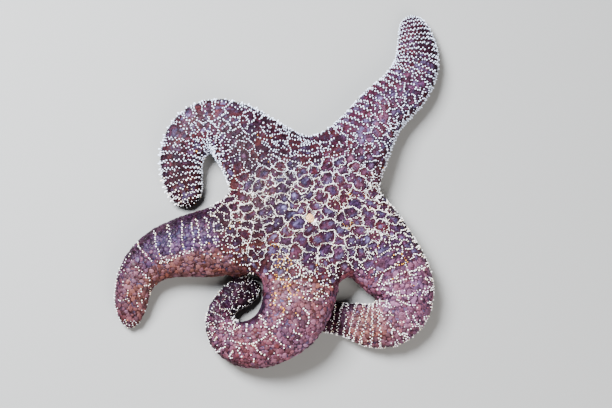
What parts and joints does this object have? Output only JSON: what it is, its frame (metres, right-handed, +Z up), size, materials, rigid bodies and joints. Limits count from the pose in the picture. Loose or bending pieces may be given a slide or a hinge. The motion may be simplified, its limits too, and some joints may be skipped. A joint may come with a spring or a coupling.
{
  "type": "starfish",
  "caption": "Life-size ochre sea star resting on its tube-foot side, its stout arms bent and curled, one looped back beside the disc.",
  "frame": {"origin": "middle of the outline seen from above, on the floor", "axes": "+Z up through the back of the disc; +Y towards the arms that point away, the longest way across; +X to the right"},
  "size_m": [0.2034, 0.2364, 0.0296],
  "materials": {
    "flesh": "wet, leathery plum and violet skin",
    "spines": "blunt, slightly wet limy spines",
    "sieve": "cream to peach, finely furrowed lime",
    "tube_feet": "soft, wet and translucent"
  },
  "bodies": {
    "root": {"disc": "flesh", "sieve_plate": "sieve", "north_east_arm_root": "flesh", "north_east_arm_middle": "flesh", "north_east_arm_tip": "flesh", "north_west_arm_root": "flesh", "north_west_arm_middle": "flesh", "north_west_arm_tip": "flesh", "west_arm_root": "flesh", "west_arm_middle": "flesh", "west_arm_tip": "flesh", "south_arm_root": "flesh", "south_arm_middle": "flesh", "south_arm_end": "flesh", "south_arm_tip": "flesh", "east_arm_root": "flesh", "east_arm_middle": "flesh", "east_arm_end": "flesh", "east_arm_tip": "flesh"}
  },
  "joints": []
}
